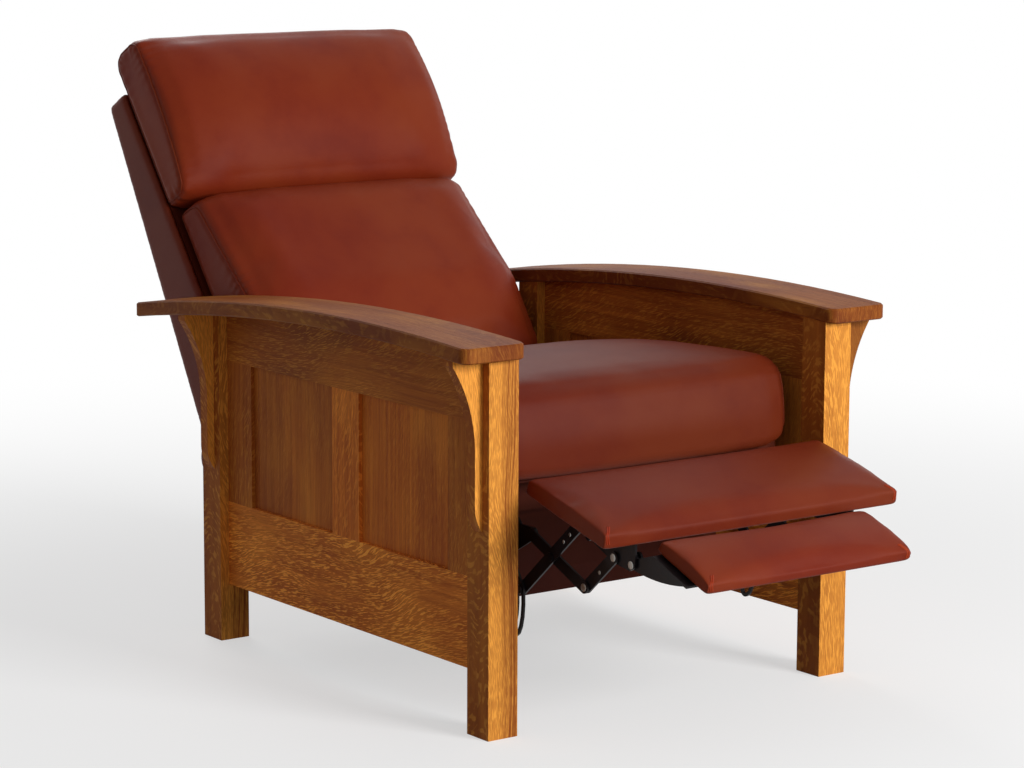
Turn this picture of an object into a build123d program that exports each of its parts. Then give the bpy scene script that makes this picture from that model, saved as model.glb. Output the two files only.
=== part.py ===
from build123d import *
import math
import os

# Mission reclining armchair, in millimetres, +Z up, the sitter facing -Y.
# It stands as photographed: the back reclined and the footrest out.
# Side views are drawn in (y, z), with y = 0 at the middle of the four posts.

# Frame of posts
POST = 57.0                # side of a square post
POSTS_WIDE = 750.0         # over the outer faces of the posts
POSTS_DEEP = 860.0         # over the front and rear faces of the posts
ORIGIN_BACK = 52.9         # the origin lies this far behind the middle of the posts
INNER_HALF = POSTS_WIDE / 2 - POST
SEAT_HEIGHT = 375.0        # of the seat's deck over the middle of the posts
OVERRUN = 6.0              # how far a cutter passes its stock
QUARTER_TURN = 90.0
HALF_TURN = 180.0
GLUE_CLEAR = 0.1           # clearance of a tenon, tongue or panel in its seat

# Bowed arms
ARM_THICK = 25.0
ARM_RADIUS = 4600.0        # of the top face
ARM_CREST = 642.0          # height of the top face at its crest
CREST_FORWARD = 150.0      # the crest lies this far in front of the middle of the posts
ARM_OUT = 62.0             # overhang past the outer face of a post
ARM_IN = 2.0
ARM_FRONT = 20.0
ARM_REAR = 118.0
ARM_CORNER = 16.0          # plan radius of the front corners
ARM_EDGE = 2.5             # rounding of the long edges

# Framed side panels
FRAME_THICK = 22.0
RAIL_LOW = 100.0           # underside of the bottom rail above the floor
BOTTOM_RAIL_DEEP = 150.0
OPENING_TALL = 250.0       # clear height between the rails
STILE_WIDE = 78.0
MIDDLE_STILE_WIDE = 80.0
PANEL_THICK = 8.0
GROOVE_DEEP = 10.0
TENON_LONG = 30.0
TENON_THICK = 10.0
TENON_SHOULDER = 12.0
TOP_TENON_DEEP = 50.0

# Corbels under the arms
CORBEL_THICK = 22.0
CORBEL_TOP = 57.0          # how far it stands out under the arm
CORBEL_LIP = 10.0          # straight end below the arm
CORBEL_WAIST = 14.0        # how far the slim lower part stands out
CORBEL_SWEEP = 140.0       # height of the hollow curve
CORBEL_LEG = 85.0          # height of the straight slim part
CORBEL_TIP = 42.0          # height of the rounded lower tip

# Cross rails between the side frames
BASE_RAIL_THICK = 22.0
PLATE_LOW = SEAT_HEIGHT - 130.0     # underside of the mechanism plate, on top of the cross rails
FRONT_RAIL_DEEP = 70.0
FRONT_RAIL_BACK = 68.0     # from the front face of the deep seat rail
REAR_RAIL_IN = 45.0        # from the rear faces of the posts
REAR_RAIL_DEEP = 95.0
SCREW_HEAD = 13.0          # across the corners of its hexagon
SCREW_HEAD_THICK = 3.0
HEXAGON = 6
SCREW_SHANK = 6.0
SCREW_LONG = 28.0

# Seat frame, drawn flat and then tilted
SEAT_TILT = 6.0            # degrees, front up
SEAT_FRONT = 332.0
SEAT_REAR = 330.0
DEEP_FRONT = 268.0         # front face of the deep rail and of the skirt
SEAT_RAIL_THICK = 22.0
SEAT_RAIL_DEEP = 80.0
NOSE_DEEP = 26.0           # depth of the frame in front of the deep rail
NOSE_HALF = INNER_HALF - 22.0
SKIRT_LOW = SEAT_HEIGHT - 197.0
DECK_CLOTH = 1.5           # burlap over the springs
SKIRT_THICK = 18.0
SPRING_WIRE = 4.0
SPRING_COUNT = 5
SPRING_LOOPS = 14
SPRING_SWING = 44.0
SPRING_MARGIN = 36.0       # middle of an outer spring to the inner face of the links
SPRING_CLIP = 12.0

# Seat cushion
CUSHION_FRONT = 372.0
CUSHION_REAR = 238.0
CUSHION_HALF = INNER_HALF - 12.0
CUSHION_THICK = 132.0      # at its seams
CUSHION_CROWN = 26.0
CUSHION_LIP = 26.0         # how far its front drops over the nose rail
CUSHION_HEEL = 25.0        # radius of its other edges
CUSHION_NOSE = 50.0        # radius of the rolled front
CUSHION_DRAW = 12.0        # how far the ends are drawn in
CUSHION_GAP = 0.3          # clearance of a soft piece from what it rests on
# From the middle of a cushion to its end: place, how far it is drawn in, how far it is crowned
CUSHION_SHARES = ((0, 0, 1), (0.5, 0, 0.94), (0.86, 0.1, 0.75), (0.965, 0.4, 0.45), (1, 1, 0.2))
LIP_SHARE = 0.8            # of the lip that the drawn-in ends lose
LIP_EDGE_SHARE = 0.3       # radius of the lip's inner lower edge
NOSE_BULGE_SHARE = 0.25    # bulge of the front for its crown

# Steel footrest linkage, side view
LINK_THICK = 4.0
LINK_GAP = 1.0
LINK_HALF = 10.0           # half width of a link
LINK_INNER = INNER_HALF - 106.0         # inner face of the innermost link
RIVET = 4.0                # radius of a rivet's shank
RIVET_HEAD = 7.5
RIVET_HEAD_THICK = 2.5
RIVET_FLAT = 0.4           # head of a rivet that lies between two links
COLLAR = 6.0               # radius of a spacer between two links
RIVET_CLEAR = 0.05
PIVOT_FORWARD = 352.0      # fixed pivot of the upper link, in front of the middle
PIVOT_HEIGHT = SEAT_HEIGHT - 72.0
UPPER_ANGLE = -23.5        # of the upper link, footrest out
UPPER_REAR = 65.0          # fixed pivot to crossing
CROSS_FRONT = 88.0         # crossing to lower front pivot
LOWER_ANGLE = 41.4         # of the lower link, footrest out
CROSS_TOP = 90.0           # crossing to bracket pivot
CROSS_FOOT = 100.0         # crossing to guide pin
FOLD_ANGLE = 74.8          # how far the upper link turns down to fold
LOWER_FOLD_ANGLE = 37.0    # how far the lower link turns up to fold
GUIDE_CLEAR = 1.0
GUIDE_WALL = 6.0
GUIDE_STEPS = 5
GUIDE_FOOT = 26.0          # side of the block that carries the guide
GUIDE_FOOT_FORWARD = 288.0
GUIDE_FOOT_HEIGHT = SEAT_HEIGHT - 90.0
FLANGE_WIDE = 26.0
PLATE_BOSS = 10.0

# Footrest boards, footrest out
BOARD_BACK = 427.0         # rear upper edge, in front of the middle of the posts
BOARD_HEIGHT = SEAT_HEIGHT + 47.0
BOARD_TILT = 15.2          # degrees, front down
BOARD_LONG = 211.0
BOARD_THICK = 35.0
BOARD_HALF = INNER_HALF - 16.0
BOARD_CORE = 12.0
BOARD_MARGIN = 14.0        # of the padding round the core
BOARD_EDGE = 8.0
BOARD_CROWN = 8.0
FLIP_PIVOT_FORWARD = 598.5
FLIP_PIVOT_HEIGHT = SEAT_HEIGHT - 79.0
FLIP_BACK = 643.0
FLIP_HEIGHT = SEAT_HEIGHT - 25.0
FLIP_TILT = 21.5
FLIP_LONG = 131.0
FLIP_THICK = 28.0
FLIP_HALF = INNER_HALF - 110.0
FLIP_CORE = 9.0
FLIP_FOLD = 173.7          # how far the lower board turns under the upper
FLIP_BOSS = 8.0
FLIP_TAIL = 10.0           # lower board's pivot to the drive link
DRIVE_CRANK = 16.5         # bracket pivot to the drive link, on the lower link's crank
DRIVE_HALF = 7.0
DRIVE_SLOT = 3.2           # play of the tail's pin each way across the drive link
DRIVE_SLOT_CLEAR = 0.5     # and along it
BRACKET_TAB = 24.0
RISER_CLEAR = 0.3          # of the riser's rivet in the bracket, where the linkage closes

# Reclining back, side view along and square to its rear face
BACK_TILT = 29.6           # degrees from upright, reclined
BACK_FOOT_Y = 543.0
BACK_FOOT_Z = SEAT_HEIGHT - 38.0
BACK_TALL = 654.0
BACK_HALF = INNER_HALF - 13.0
BACK_TOP_DEEP = 57.0
BACK_FOOT_DEEP = 152.0
BACK_ROLL = 38.0           # radius of the padded roll along the foot
BACK_ROLL_DROP = 46.0      # its middle below the foot of the rear face
BACK_COVER = 9.0
BACK_STILE = 22.0
BACK_RAIL = 60.0
BACK_DECK = 5.0
HINGE_Y = 352.0
HINGE_Z = SEAT_HEIGHT + 30.0
HINGE_PLATE = 4.0
HINGE_BOLT = 6.0
HINGE_BOSS = 12.0
HINGE_HEAD = 10.0

# Back pillows, along and square to the rear face of the back
PILLOW_HALF = BACK_HALF - 6.0
PILLOW_DRAW = 12.0
PILLOW_SPLIT = 396.0       # height of the fold between the two
PILLOW_GAP = 1.5
HEAD_TOP = 736.0
HEAD_SIDE = 158.0          # seam depth at the top of the head pillow
HEAD_FOOT = 180.0          # seam depth at its foot
HEAD_CROWN = 40.0
LUMBAR_TOP = 206.0         # depth of the lower pillow at its top
LUMBAR_MIDDLE = 286.0
LUMBAR_MIDDLE_UP = 161.0
LUMBAR_FOOT = 300.0
LUMBAR_LOW = -6.0
LUMBAR_BEND = 160.0        # rounding where its front turns
PILLOW_EDGE = 6.0
PILLOW_TURN = 28.0


def mirrored(shape):
    """The same piece on the other side of the chair."""
    return mirror(shape, about=Plane.YZ)


def block(x0, x1, y0, y1, z0, z1):
    """A square-cut piece between six faces."""
    centre = ((x0 + x1) / 2, (y0 + y1) / 2, (z0 + z1) / 2)
    return Pos(*centre) * Box(x1 - x0, y1 - y0, z1 - z0)


def slab(face_edges, thick):
    """A plate from the closed side-view outline, grown towards +X."""
    return extrude(make_face(face_edges), amount=thick, dir=(1, 0, 0))


def outline(x, points):
    """A closed straight-sided side view at one x."""
    return Polyline([(x, y, z) for y, z in points], close=True)


def disc(x, thick, place, radius):
    """A round boss, hole or rivet along X, from x towards +X."""
    y, z = place
    from_end = (Align.CENTER, Align.CENTER, Align.MIN)
    return Location((x, y, z), (0, QUARTER_TURN, 0)) * Cylinder(radius, thick, align=from_end)


def reach(start, angle, length):
    """A side-view point at a length from the start, the angle rising from straight ahead."""
    a = math.radians(angle)
    return (start[0] - length * math.cos(a), start[1] + length * math.sin(a))


# Arms and the space below them

def arm_under(y):
    """Height of the arm's underside at y."""
    radius = ARM_RADIUS - ARM_THICK
    return ARM_CREST - ARM_RADIUS + math.sqrt(radius ** 2 - (y + CREST_FORWARD) ** 2)


def arm_arc(x, y0, y1, radius):
    """One long arc of the arm's side view."""
    centre = ARM_CREST - ARM_RADIUS
    rise = [centre + math.sqrt(radius ** 2 - (y + CREST_FORWARD) ** 2) for y in (y0, (y0 + y1) / 2, y1)]
    return ThreePointArc((x, y0, rise[0]), (x, (y0 + y1) / 2, rise[1]), (x, y1, rise[2]))


def below_arms():
    """Everything under the curved underside of the arms, to trim what meets it."""
    y0, y1 = -POSTS_DEEP, POSTS_DEEP
    arc = arm_arc(-POSTS_WIDE, y0, y1, ARM_RADIUS - ARM_THICK)
    a, b = arc @ 0, arc @ 1
    low = (a.X, a.Y, 0)
    high = (b.X, b.Y, 0)
    return slab([arc, Line(b, high), Line(high, low), Line(low, a)], POSTS_WIDE * 2)


def right_arm():
    x0 = POSTS_WIDE / 2 - POST - ARM_IN
    x1 = POSTS_WIDE / 2 + ARM_OUT
    y0, y1 = -POSTS_DEEP / 2 - ARM_FRONT, POSTS_DEEP / 2 + ARM_REAR
    top = arm_arc(x0, y0, y1, ARM_RADIUS)
    under = arm_arc(x0, y0, y1, ARM_RADIUS - ARM_THICK)
    arm = slab([top, Line(top @ 1, under @ 1), under, Line(under @ 0, top @ 0)], x1 - x0)
    corners = arm.edges().filter_by(Axis.Z).group_by(Axis.Y)[0]
    arm = fillet(corners, ARM_CORNER)
    faces = arm.faces().filter_by(GeomType.CYLINDER).sort_by(SortBy.AREA)[-2:]
    return chamfer(faces.edges(), ARM_EDGE)


# Posts, rails, stiles and panels of a side frame

def frame_x():
    """Inner and outer face of the right-hand side frame."""
    middle = POSTS_WIDE / 2 - POST / 2
    return middle - FRAME_THICK / 2, middle + FRAME_THICK / 2


def right_post(front):
    y0 = -POSTS_DEEP / 2 if front else POSTS_DEEP / 2 - POST
    x1 = POSTS_WIDE / 2
    post = block(x1 - POST, x1, y0, y0 + POST, 0, ARM_CREST) & below_arms()
    return post - rail_tenons(GLUE_CLEAR)


def rail_tenons(spare):
    """Tenons of both rails, with some spare to cut their mortises."""
    x0, x1 = frame_x()
    middle, half = (x0 + x1) / 2, TENON_THICK / 2 + spare
    reach_y = POSTS_DEEP / 2 - POST + TENON_LONG + spare
    low = RAIL_LOW + TENON_SHOULDER - spare
    high = RAIL_LOW + BOTTOM_RAIL_DEEP - TENON_SHOULDER + spare
    top_low = RAIL_LOW + BOTTOM_RAIL_DEEP + OPENING_TALL + TENON_SHOULDER - spare
    top_high = top_low + TOP_TENON_DEEP + spare * 2
    bottom = block(middle - half, middle + half, -reach_y, reach_y, low, high)
    top = block(middle - half, middle + half, -reach_y, reach_y, top_low, top_high)
    return Compound([bottom, top])


def groove(y0, y1, z0, z1):
    """The slot for a panel, cut along the middle of the frame's thickness."""
    x0, x1 = frame_x()
    middle, half = (x0 + x1) / 2, PANEL_THICK / 2 + GLUE_CLEAR
    return block(middle - half, middle + half, y0, y1, z0, z1)


def right_rail(top):
    x0, x1 = frame_x()
    y1 = POSTS_DEEP / 2 - POST
    opening = RAIL_LOW + BOTTOM_RAIL_DEEP
    if top:
        z0, z1 = opening + OPENING_TALL, ARM_CREST
        slot = groove(-y1, y1, z0 - OVERRUN, z0 + GROOVE_DEEP)
        tenon = rail_tenons(0).solids().sort_by(Axis.Z)[-1]
        rail = (block(x0, x1, -y1, y1, z0, z1) & below_arms()) + tenon
    else:
        z0, z1 = RAIL_LOW, opening
        slot = groove(-y1, y1, z1 - GROOVE_DEEP, z1 + OVERRUN)
        tenon = rail_tenons(0).solids().sort_by(Axis.Z)[0]
        rail = block(x0, x1, -y1, y1, z0, z1) + tenon
    return rail - slot


def stile_spans():
    """Rear, middle and front stile as their y limits."""
    y1 = POSTS_DEEP / 2 - POST
    return {"rear_stile": (y1 - STILE_WIDE, y1),
            "middle_stile": (-MIDDLE_STILE_WIDE / 2, MIDDLE_STILE_WIDE / 2),
            "front_stile": (-y1, -y1 + STILE_WIDE)}


def right_stile(name):
    x0, x1 = frame_x()
    y0, y1 = stile_spans()[name]
    z0 = RAIL_LOW + BOTTOM_RAIL_DEEP
    z1 = z0 + OPENING_TALL
    middle, half = (x0 + x1) / 2, PANEL_THICK / 2
    tongue = GROOVE_DEEP - GLUE_CLEAR
    stile = block(x0, x1, y0, y1, z0, z1)
    stile += block(middle - half, middle + half, y0, y1, z0 - tongue, z1 + tongue)
    if name != "rear_stile":
        stile -= groove(y1 - GROOVE_DEEP, y1 + OVERRUN, z0 - GROOVE_DEEP, z1 + GROOVE_DEEP)
    if name != "front_stile":
        stile -= groove(y0 - OVERRUN, y0 + GROOVE_DEEP, z0 - GROOVE_DEEP, z1 + GROOVE_DEEP)
    return stile


def right_panel(front):
    x0, x1 = frame_x()
    spans = stile_spans()
    y0 = spans["front_stile"][1] if front else spans["middle_stile"][1]
    y1 = spans["middle_stile"][0] if front else spans["rear_stile"][0]
    z0 = RAIL_LOW + BOTTOM_RAIL_DEEP
    seat = GROOVE_DEEP - GLUE_CLEAR
    middle, half = (x0 + x1) / 2, PANEL_THICK / 2
    return block(middle - half, middle + half, y0 - seat, y1 + seat, z0 - seat, z0 + OPENING_TALL + seat)


def right_corbel(front):
    """A bracket on the outer face of a post, hollow-curved down to a slim leg."""
    x0 = POSTS_WIDE / 2
    middle = (-1 if front else 1) * (POSTS_DEEP - POST) / 2
    y0 = middle - CORBEL_THICK / 2
    lip = arm_under(middle) - CORBEL_LIP
    waist = lip - CORBEL_SWEEP
    leg = waist - CORBEL_LEG
    tip = leg - CORBEL_TIP
    p0, p1 = (x0, y0, ARM_CREST), (x0 + CORBEL_TOP, y0, ARM_CREST)
    p2, p3 = (x0 + CORBEL_TOP, y0, lip), (x0 + CORBEL_WAIST, y0, waist)
    p4, p5 = (x0 + CORBEL_WAIST, y0, leg), (x0, y0, tip)
    sweep = TangentArc(p3, p2, tangent=(0, 0, 1))
    end = TangentArc(p4, p5, tangent=(0, 0, -1))
    face = make_face([Line(p0, p1), Line(p1, p2), sweep, Line(p3, p4), end, Line(p5, p0)])
    return extrude(face, amount=CORBEL_THICK, dir=(0, 1, 0)) & below_arms()


# Cross rails of the base

def base_rail_fronts():
    """Front faces of the front and rear cross rails."""
    return (-DEEP_FRONT + FRONT_RAIL_BACK, POSTS_DEEP / 2 - REAR_RAIL_IN)


def base_rail(front):
    """A cross rail between the side frames in front, or between the rear posts behind."""
    y0 = base_rail_fronts()[0 if front else 1]
    half = frame_x()[0] if front else INNER_HALF
    deep = FRONT_RAIL_DEEP if front else REAR_RAIL_DEEP
    rail = block(-half, half, y0, y0 + BASE_RAIL_THICK, PLATE_LOW - deep, PLATE_LOW)
    screws = base_screws(GLUE_CLEAR)
    return rail - screws - mirrored(screws)


def base_screws(spare=0):
    """The two screws that hold the right-hand mechanism plate down on the cross rails."""
    x = layer(PLATE_LAYER) + LINK_THICK + FLANGE_WIDE / 2
    shank = Pos(0, 0, -SCREW_LONG / 2) * Cylinder(SCREW_SHANK / 2 + spare, SCREW_LONG + spare * 2)
    head = extrude(RegularPolygon(SCREW_HEAD / 2, HEXAGON), SCREW_HEAD_THICK)
    screw = shank if spare else shank + head
    top = PLATE_LOW + LINK_THICK
    return Compound([Pos(x, y + BASE_RAIL_THICK / 2, top) * screw for y in base_rail_fronts()])


# Linkage layers and pivots

def layer(number):
    """Inner face of a link layer, counted from the innermost at 0."""
    return LINK_INNER + number * (LINK_THICK + LINK_GAP)


DRIVE_LAYER, FLIP_LAYER, BRACKET_LAYER, PLATE_LAYER, UPPER_LAYER, LOWER_LAYER, GUIDE_LAYER = range(7)
RISER_LAYER = PLATE_LAYER


def pivots(upper_turn=0, lower_turn=0):
    """Side-view pivots of the scissor, for how far its two links have folded."""
    upper = UPPER_ANGLE - upper_turn
    lower = LOWER_ANGLE + lower_turn
    fixed = (-PIVOT_FORWARD, PIVOT_HEIGHT)
    cross = reach(fixed, upper, UPPER_REAR)
    front = reach(cross, upper, CROSS_FRONT)
    top = reach(cross, lower, CROSS_TOP)
    foot = reach(cross, lower, -CROSS_FOOT)
    riser = reach(front, lower, CROSS_TOP)
    return {"fixed": fixed, "cross": cross, "front": front, "top": top, "foot": foot, "riser": riser}


def strap(x, a, b, half):
    """A flat link with round ends between two pivots."""
    angle = math.degrees(math.atan2(b[1] - a[1], b[0] - a[0]))
    length = math.hypot(b[0] - a[0], b[1] - a[1])
    middle = ((a[0] + b[0]) / 2, (a[1] + b[1]) / 2)
    bar = Pos(x + LINK_THICK / 2, *middle) * Rot(angle, 0, 0) * Box(LINK_THICK, length, half * 2)
    return bar + disc(x, LINK_THICK, a, half) + disc(x, LINK_THICK, b, half)


def rivet(inner, outer, place, inner_head=RIVET_FLAT, outer_head=RIVET_FLAT):
    """A shank from the inner layer to the outer, with a flat, a round or no head beyond each."""
    x0, x1 = layer(inner), layer(outer) + LINK_THICK
    shape = disc(x0, x1 - x0, place, RIVET)
    if inner_head:
        shape += disc(x0 - inner_head, inner_head, place, RIVET_HEAD)
    if outer_head:
        shape += disc(x1, outer_head, place, RIVET_HEAD)
    return shape


def bore(number, place, spare=RIVET_CLEAR):
    """The hole of a link for a rivet."""
    return disc(layer(number) - LINK_GAP, LINK_THICK + LINK_GAP * 2, place, RIVET + spare)


def upper_link():
    """From the fixed pivot down through the crossing to the lower front pivot."""
    p = pivots()
    x = layer(UPPER_LAYER)
    link = strap(x, p["fixed"], p["front"], LINK_HALF)
    link -= bore(UPPER_LAYER, p["fixed"])
    link += rivet(UPPER_LAYER, LOWER_LAYER, p["cross"], inner_head=0, outer_head=RIVET_HEAD_THICK)
    return link + rivet(RISER_LAYER, UPPER_LAYER, p["front"], inner_head=RIVET_HEAD_THICK, outer_head=0)


def lower_link():
    """From the guide pin through the crossing to the bracket pivot, whose pin ends in a crank."""
    p = pivots()
    x = layer(LOWER_LAYER)
    link = strap(x, p["foot"], p["top"], LINK_HALF)
    link -= bore(LOWER_LAYER, p["cross"])
    link += rivet(LOWER_LAYER, GUIDE_LAYER, p["foot"], inner_head=0, outer_head=RIVET_HEAD_THICK)
    pin_start, collar_start = layer(FLIP_LAYER), layer(RISER_LAYER)
    link += disc(pin_start, x - pin_start, p["top"], RIVET)
    link += disc(collar_start, x - collar_start, p["top"], COLLAR)
    link += disc(x + LINK_THICK, RIVET_HEAD_THICK, p["top"], RIVET_HEAD)
    crank = drive_ends()[0]
    link += strap(pin_start, p["top"], crank, DRIVE_HALF)
    link += rivet(DRIVE_LAYER, FLIP_LAYER, crank, inner_head=RIVET_HEAD_THICK, outer_head=0)
    return link


def riser_link():
    """From the lower front pivot up to the bracket."""
    p = pivots()
    link = strap(layer(RISER_LAYER), p["front"], p["riser"], LINK_HALF)
    link -= bore(RISER_LAYER, p["front"])
    return link + rivet(BRACKET_LAYER, RISER_LAYER, p["riser"], outer_head=0)


def guide_path(steps):
    """Places of the guide pin from footrest out to folded."""
    shares = [n / steps for n in range(steps + 1)]
    return [pivots(FOLD_ANGLE * s, LOWER_FOLD_ANGLE * s)["foot"] for s in shares]


def along_path(x, path, half):
    """Round-ended plates joined along a path."""
    shape = None
    for a, b in zip(path, path[1:]):
        piece = strap(x, a, b, half)
        shape = piece if shape is None else shape + piece
    return shape


def guide_plate():
    """A plate on the mechanism plate with the curved slot that the lower link's foot runs in."""
    x = layer(GUIDE_LAYER)
    path = guide_path(GUIDE_STEPS)
    half = RIVET + GUIDE_CLEAR
    wall = half + GUIDE_WALL
    y, z, reach_foot = -GUIDE_FOOT_FORWARD, GUIDE_FOOT_HEIGHT, GUIDE_FOOT / 2
    x_foot = layer(PLATE_LAYER) + LINK_THICK
    plate = along_path(x, path, wall) + strap(x, path[0], (y, z), wall)
    foot = block(x_foot, x + LINK_THICK, y - reach_foot, y + reach_foot, z - reach_foot, z + reach_foot)
    return plate + foot - along_path(x, path, half)


def mechanism_plate():
    """The side plate that carries the scissor, on a flange over the base rails."""
    x = layer(PLATE_LAYER)
    fixed = pivots()["fixed"]
    front = -DEEP_FRONT
    rear = base_rail_fronts()[1] + BASE_RAIL_THICK
    deck = SEAT_HEIGHT - SEAT_RAIL_DEEP / 2
    top_front = deck - front * math.tan(math.radians(SEAT_TILT))
    top_rear = deck - rear * math.tan(math.radians(SEAT_TILT))
    nose, root = -PIVOT_FORWARD, front - GUIDE_FOOT * 2
    points = [(nose, fixed[1] - PLATE_BOSS), (front, PLATE_LOW), (rear, PLATE_LOW), (rear, top_rear),
              (front, top_front), (root, fixed[1] + PLATE_BOSS), (nose, fixed[1] + PLATE_BOSS)]
    plate = slab(outline(x, points), LINK_THICK) + disc(x, LINK_THICK, fixed, PLATE_BOSS)
    y0 = base_rail_fronts()[0]
    flange = block(x, x + LINK_THICK + FLANGE_WIDE, y0, rear, PLATE_LOW, PLATE_LOW + LINK_THICK)
    return plate + flange + rivet(PLATE_LAYER, UPPER_LAYER, fixed, inner_head=0) - base_screws(GLUE_CLEAR)


# Footrest boards, brackets and lower board

def board_point(along, up):
    """A side-view point on the footrest board: along from its rear upper edge, up from its face."""
    a = math.radians(BOARD_TILT)
    y = -BOARD_BACK - along * math.cos(a) - up * math.sin(a)
    return (y, BOARD_HEIGHT - along * math.sin(a) + up * math.cos(a))


def flip_point(along, up):
    """The same on the lower board."""
    a = math.radians(FLIP_TILT)
    y = -FLIP_BACK - along * math.cos(a) - up * math.sin(a)
    return (y, FLIP_HEIGHT - along * math.sin(a) + up * math.cos(a))


def on_board(point):
    """Along and up on the footrest board for a side-view point."""
    a = math.radians(BOARD_TILT)
    y, z = -point[0] - BOARD_BACK, point[1] - BOARD_HEIGHT
    return (y * math.cos(a) - z * math.sin(a), y * math.sin(a) + z * math.cos(a))


def padded_board(half, long, thick, place, core_thick):
    """The plywood core and the crowned padding round its top and edges."""
    core = block(-half + BOARD_MARGIN, half - BOARD_MARGIN, 0, long - BOARD_MARGIN * 2, 0, core_thick)
    low, high = place(BOARD_MARGIN, -thick), place(long - BOARD_MARGIN, -thick)
    angle = math.degrees(math.atan2(high[1] - low[1], high[0] - low[0]))
    core = Pos(0, *low) * Rot(angle - HALF_TURN, 0, 0) * Rot(0, 0, HALF_TURN) * core
    corners = [place(0, -thick), place(0, -BOARD_CROWN), place(long, -BOARD_CROWN), place(long, -thick)]
    crest = place(long / 2, 0)
    x = -half
    top = ThreePointArc((x, *corners[1]), (x, *crest), (x, *corners[2]))
    sides = [Line((x, *corners[0]), (x, *corners[1])), top, Line((x, *corners[2]), (x, *corners[3])),
             Line((x, *corners[3]), (x, *corners[0]))]
    pad = slab(sides, half * 2)
    long_edges = pad.edges().filter_by(Axis.X)
    rims = long_edges.sort_by(Axis.Z)[-1:] + long_edges.sort_by(Axis.Y)[:1]
    ends = pad.faces().sort_by(Axis.X)[0].edges() + pad.faces().sort_by(Axis.X)[-1].edges()
    pad = fillet(ends.sort_by(Axis.Z)[-2:] + rims, BOARD_EDGE)
    return core, pad - core


def footrest_bracket():
    """A plate under the board that holds the scissor's two pivots and the lower board's pivot."""
    x = layer(BRACKET_LAYER)
    p = pivots()
    top, riser, tip = on_board(p["top"]), on_board(p["riser"]), on_board(flip_pivot())
    under = -BOARD_THICK - CUSHION_GAP
    points = [board_point(top[0] - LINK_HALF, under), board_point(top[0] - LINK_HALF, top[1]),
              board_point(top[0], top[1] - LINK_HALF), board_point(riser[0], riser[1] - LINK_HALF),
              board_point(tip[0], tip[1] - LINK_HALF), board_point(tip[0] + LINK_HALF, tip[1]),
              board_point(tip[0], under)]
    plate = slab(outline(x, points), LINK_THICK)
    tab_points = [board_point(top[0] - LINK_HALF, under), board_point(top[0] - LINK_HALF, under - LINK_THICK),
                  board_point(tip[0] - LINK_HALF, under - LINK_THICK), board_point(tip[0] - LINK_HALF, under)]
    plate += slab(outline(x - BRACKET_TAB, tab_points), BRACKET_TAB + LINK_THICK)
    plate -= bore(BRACKET_LAYER, p["top"]) + bore(BRACKET_LAYER, p["riser"], RISER_CLEAR)
    return plate + rivet(FLIP_LAYER, BRACKET_LAYER, flip_pivot(), inner_head=0)


def flip_pivot():
    return (-FLIP_PIVOT_FORWARD, FLIP_PIVOT_HEIGHT)


def drive_ends():
    """Both pivots of the drive link, footrest out, evenly about the line between their centres."""
    top, tip = pivots()["top"], flip_pivot()
    line = math.degrees(math.atan2(tip[1] - top[1], top[0] - tip[0]))
    swing = (FOLD_ANGLE + LOWER_FOLD_ANGLE) / 2
    return reach(top, line - swing, DRIVE_CRANK), reach(tip, line + FLIP_FOLD / 2, FLIP_TAIL)


def drive_link():
    """From the crank of the lower link to a short cross slot round the tail of the lower board's arm."""
    crank, tail = drive_ends()
    x = layer(DRIVE_LAYER)
    across = math.degrees(math.atan2(tail[1] - crank[1], crank[0] - tail[0])) + QUARTER_TURN
    near, far = reach(tail, across, -DRIVE_SLOT), reach(tail, across, DRIVE_SLOT)
    half = RIVET + DRIVE_SLOT_CLEAR
    link = strap(x, crank, tail, DRIVE_HALF) + strap(x, near, far, half + LINK_THICK)
    return link - bore(DRIVE_LAYER, crank) - strap(x, near, far, half)


def flipper_arm():
    """A bowed plate from the lower board's pivot to a tab under that board."""
    x = layer(FLIP_LAYER)
    pivot, tail = flip_pivot(), drive_ends()[1]
    under = -FLIP_THICK - CUSHION_GAP
    heel, toe = flip_point(BOARD_MARGIN, under), flip_point(FLIP_LONG - BOARD_MARGIN * 2, under)
    belly = flip_point(FLIP_LONG / 2, under - LINK_HALF * 2)
    low, rear = (x, pivot[0], pivot[1] - FLIP_BOSS), (x, pivot[0], pivot[1] + FLIP_BOSS)
    edges = [ThreePointArc(low, (x, *belly), (x, *toe)), Line((x, *toe), (x, *heel)), Line((x, *heel), rear),
             Line(rear, low)]
    arm = slab(edges, LINK_THICK) + disc(x, LINK_THICK, pivot, FLIP_BOSS) + strap(x, pivot, tail, DRIVE_HALF)
    arm -= bore(FLIP_LAYER, pivot)
    arm += rivet(DRIVE_LAYER, FLIP_LAYER, tail, inner_head=RIVET_HEAD_THICK, outer_head=0)
    inner = FLIP_HALF - BRACKET_TAB
    low_heel = flip_point(BOARD_MARGIN, under - LINK_THICK)
    low_toe = flip_point(FLIP_LONG - BOARD_MARGIN * 2, under - LINK_THICK)
    return arm + slab(outline(inner, [heel, toe, low_toe, low_heel]), x + LINK_THICK - inner)


# Seat frame, springs and cushion

def tilted(shape):
    """A piece drawn on the level deck, laid on the tilted one."""
    return Pos(0, 0, SEAT_HEIGHT) * Rot(-SEAT_TILT, 0, 0) * shape


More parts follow.
